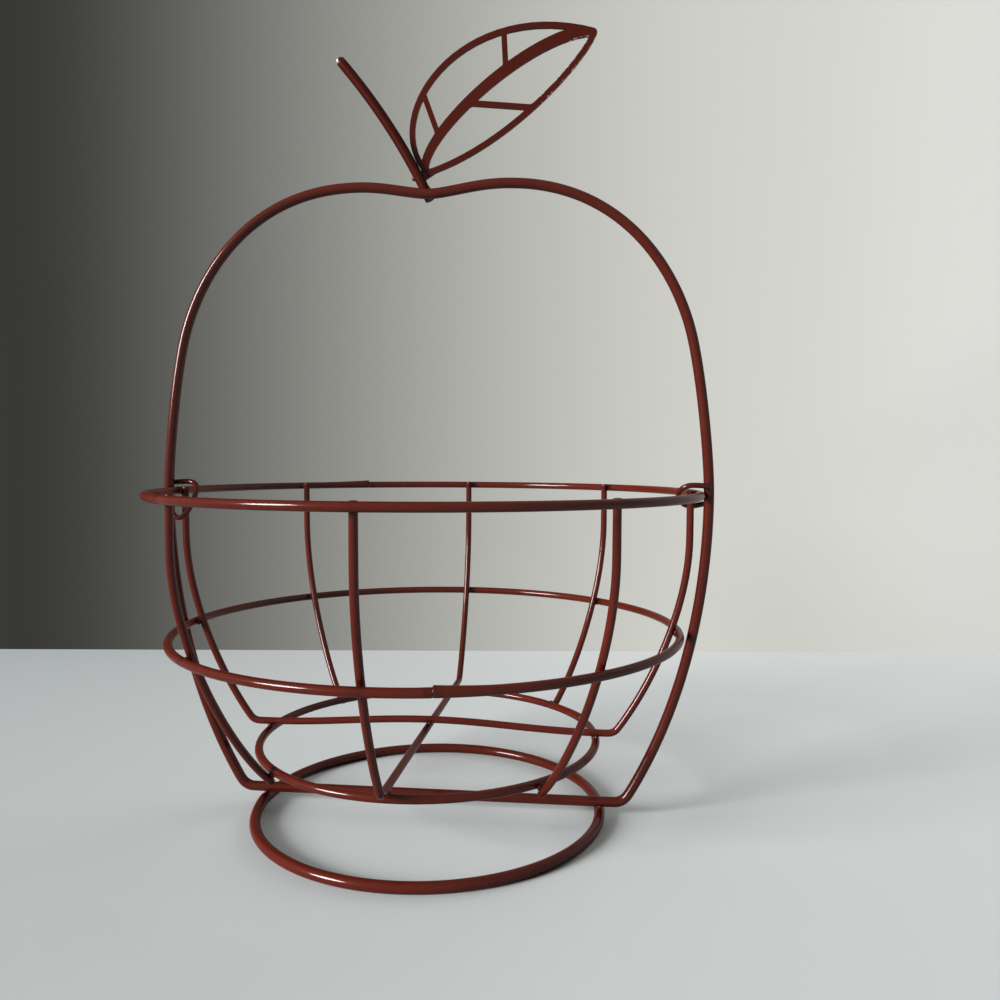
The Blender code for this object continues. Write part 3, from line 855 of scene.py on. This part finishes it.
class BASKET_OT_studio(bpy.types.Operator):
    """Pale floor and backdrop, soft lamps and the camera"""

    bl_idname = "basket.studio"
    bl_label = "Studio"

    def execute(self, context):
        studio = context.scene.basket_studio
        deselect_all()
        heading = direction(studio.camera_heading, 0)
        foot = Vector(studio.camera_place) + heading * studio.wall_distance
        foot.z = 0
        centre = foot - heading * (FLOOR_SIZE / 2)
        bpy.ops.mesh.primitive_plane_add(size=FLOOR_SIZE, location=centre)
        sweep = context.view_layer.objects.active
        sweep.name = "studio_sweep"
        bpy.ops.object.mode_set(mode="EDIT")
        bpy.ops.mesh.select_all(action="SELECT")
        bpy.ops.transform.rotate(value=math.pi / 2 - studio.camera_heading, orient_axis="Z",
                                 center_override=centre)
        bpy.ops.object.mode_set(mode="OBJECT")
        bpy.ops.object.transform_apply(location=True, rotation=True, scale=True)
        # The far edge is drawn up into the backdrop
        select_where(sweep, "VERT", lambda place: (place - foot).dot(heading) > -FLOOR_SIZE / 2)
        bpy.ops.mesh.extrude_region_move(TRANSFORM_OT_translate={"value": (0, 0, WALL_HEIGHT)})
        bpy.ops.object.mode_set(mode="OBJECT")
        sweep.data.materials.append(self.backdrop(studio))
        self.lamps(studio)
        self.camera(context, studio)
        return {"FINISHED"}

    def backdrop(self, studio):
        """Material of the floor and backdrop, painted with shade at the left and light at the
        right, clear from behind and to the lamps.
        """
        material = bpy.data.materials.new("Studio Sweep")
        material.use_nodes = True
        tree = material.node_tree
        shader = tree.nodes["Principled BSDF"]
        place = tree.nodes.new("ShaderNodeTexCoord").outputs["Object"]
        split = tree.nodes.new("ShaderNodeSeparateXYZ")
        tree.links.new(place, split.inputs["Vector"])
        rise = span(tree, split.outputs["Z"], 0.0, WALL_START)
        across = span(tree, split.outputs["X"], *ACROSS)
        right = span(tree, split.outputs["X"], *FAR_RIGHT)
        left = span(tree, split.outputs["X"], *FAR_LEFT)
        # Painted shade darkens the floor and backdrop towards the left, and painted light
        # brightens the backdrop at the right
        floor = blend_colours(tree, across, studio.floor_shaded_left, studio.floor)
        floor = blend_colours(tree, seen_directly(tree), studio.floor_bounce, floor)
        wall = blend_colours(tree, across, studio.wall_shaded_left, studio.wall_lit_right)
        wall = blend_colours(tree, right, wall, studio.wall_lit_far_right)
        wall = blend_colours(tree, left, studio.wall_shaded_far_left, wall)
        tree.links.new(blend_colours(tree, rise, floor, wall), shader.inputs["Base Color"])
        shader.inputs["Roughness"].default_value = 0.55
        shader.inputs["Specular IOR Level"].default_value = 0.0
        behind = tree.nodes.new("ShaderNodeNewGeometry").outputs["Backfacing"]
        shadow = tree.nodes.new("ShaderNodeLightPath").outputs["Is Shadow Ray"]
        clear = tree.nodes.new("ShaderNodeBsdfTransparent")
        blend = tree.nodes.new("ShaderNodeMixShader")
        tree.links.new(arithmetic(tree, "MAXIMUM", behind, shadow), blend.inputs[0])
        tree.links.new(shader.outputs["BSDF"], blend.inputs[1])
        tree.links.new(clear.outputs["BSDF"], blend.inputs[2])
        tree.links.new(blend.outputs["Shader"], tree.nodes["Material Output"].inputs["Surface"])
        return material

    def lamps(self, studio):
        """A window-like lamp at the left, soft ones beside and behind it, and even room light."""
        powers = (studio.window_power, studio.side_power, studio.back_power)
        for (name, heading, height, width, mirrored), power in zip(LAMPS, powers):
            away = direction(math.radians(heading), math.radians(height))
            deselect_all()
            bpy.ops.object.light_add(type="SUN", location=away * LAMP_DISTANCE)
            lamp = bpy.context.view_layer.objects.active
            lamp.name = name
            lamp.data.angle = math.radians(width)
            lamp.data.energy = power
            lamp.visible_glossy = mirrored
            lamp.rotation_euler = away.to_track_quat("Z", "Y").to_euler()
        world = bpy.data.worlds.new("Room")
        world.use_nodes = True
        tree = world.node_tree
        room = tree.nodes["Background"]
        room.inputs["Color"].default_value = (*ROOM_COLOUR, 1)
        room.inputs["Strength"].default_value = studio.sky
        backdrop = tree.nodes.new("ShaderNodeBackground")
        backdrop.inputs["Color"].default_value = (*studio.wall_lit_right, 1)
        mix = tree.nodes.new("ShaderNodeMixShader")
        tree.links.new(seen_directly(tree), mix.inputs[0])
        tree.links.new(room.outputs["Background"], mix.inputs[1])
        tree.links.new(backdrop.outputs["Background"], mix.inputs[2])
        tree.links.new(mix.outputs["Shader"], tree.nodes["World Output"].inputs["Surface"])
        bpy.context.scene.world = world

    def camera(self, context, studio):
        """The photograph's viewpoint."""
        deselect_all()
        bpy.ops.object.camera_add(location=studio.camera_place)
        camera = context.view_layer.objects.active
        camera.name = "photo_camera"
        camera.data.sensor_width = 36
        camera.data.lens = studio.lens
        camera.data.clip_start = 0.01
        camera.data.clip_end = 20
        ahead = direction(studio.camera_heading, studio.camera_pitch)
        right = Vector((math.sin(studio.camera_heading), -math.cos(studio.camera_heading), 0))
        up = right.cross(ahead)
        turned_right = right * math.cos(studio.camera_roll) + up * math.sin(studio.camera_roll)
        turned_up = turned_right.cross(ahead)
        axes = Matrix((turned_right, turned_up, -ahead)).transposed()
        camera.rotation_euler = axes.to_euler()
        context.scene.camera = camera
        context.scene.view_settings.view_transform = "Standard"


class BASKET_PT_build(bpy.types.Panel):
    """Lists the building steps and their settings"""

    bl_label = "Apple Basket"
    bl_idname = "BASKET_PT_build"
    bl_space_type = "VIEW_3D"
    bl_region_type = "UI"
    bl_category = "Apple Basket"

    def draw(self, context):
        layout = self.layout
        for settings in (context.scene.basket_sizes, context.scene.basket_enamel,
                         context.scene.basket_studio):
            box = layout.box()
            for key in settings.__annotations__:
                box.prop(settings, key)
        for step in STEPS:
            layout.operator(step.bl_idname)


STEPS = (BASKET_OT_studio, BASKET_OT_frame, BASKET_OT_stem, BASKET_OT_leaf, BASKET_OT_eyes,
         BASKET_OT_hoops, BASKET_OT_ribs, BASKET_OT_welds)
CLASSES = (BasketSizes, EnamelColours, StudioSettings, *STEPS, BASKET_PT_build)


def register():
    """Register the classes and hang the settings on the scene."""
    for item in CLASSES:
        bpy.utils.register_class(item)
    bpy.types.Scene.basket_sizes = bpy.props.PointerProperty(type=BasketSizes)
    bpy.types.Scene.basket_enamel = bpy.props.PointerProperty(type=EnamelColours)
    bpy.types.Scene.basket_studio = bpy.props.PointerProperty(type=StudioSettings)


def unregister():
    """Take the settings and classes away again."""
    del bpy.types.Scene.basket_sizes
    del bpy.types.Scene.basket_enamel
    del bpy.types.Scene.basket_studio
    for item in reversed(CLASSES):
        bpy.utils.unregister_class(item)


def main():
    """Build every group in order."""
    register()
    bpy.ops.basket.studio()
    bpy.ops.basket.frame()
    bpy.ops.basket.stem()
    bpy.ops.basket.leaf()
    bpy.ops.basket.eyes()
    bpy.ops.basket.hoops()
    bpy.ops.basket.ribs()
    bpy.ops.basket.welds()


if __name__ == "__main__":
    main()
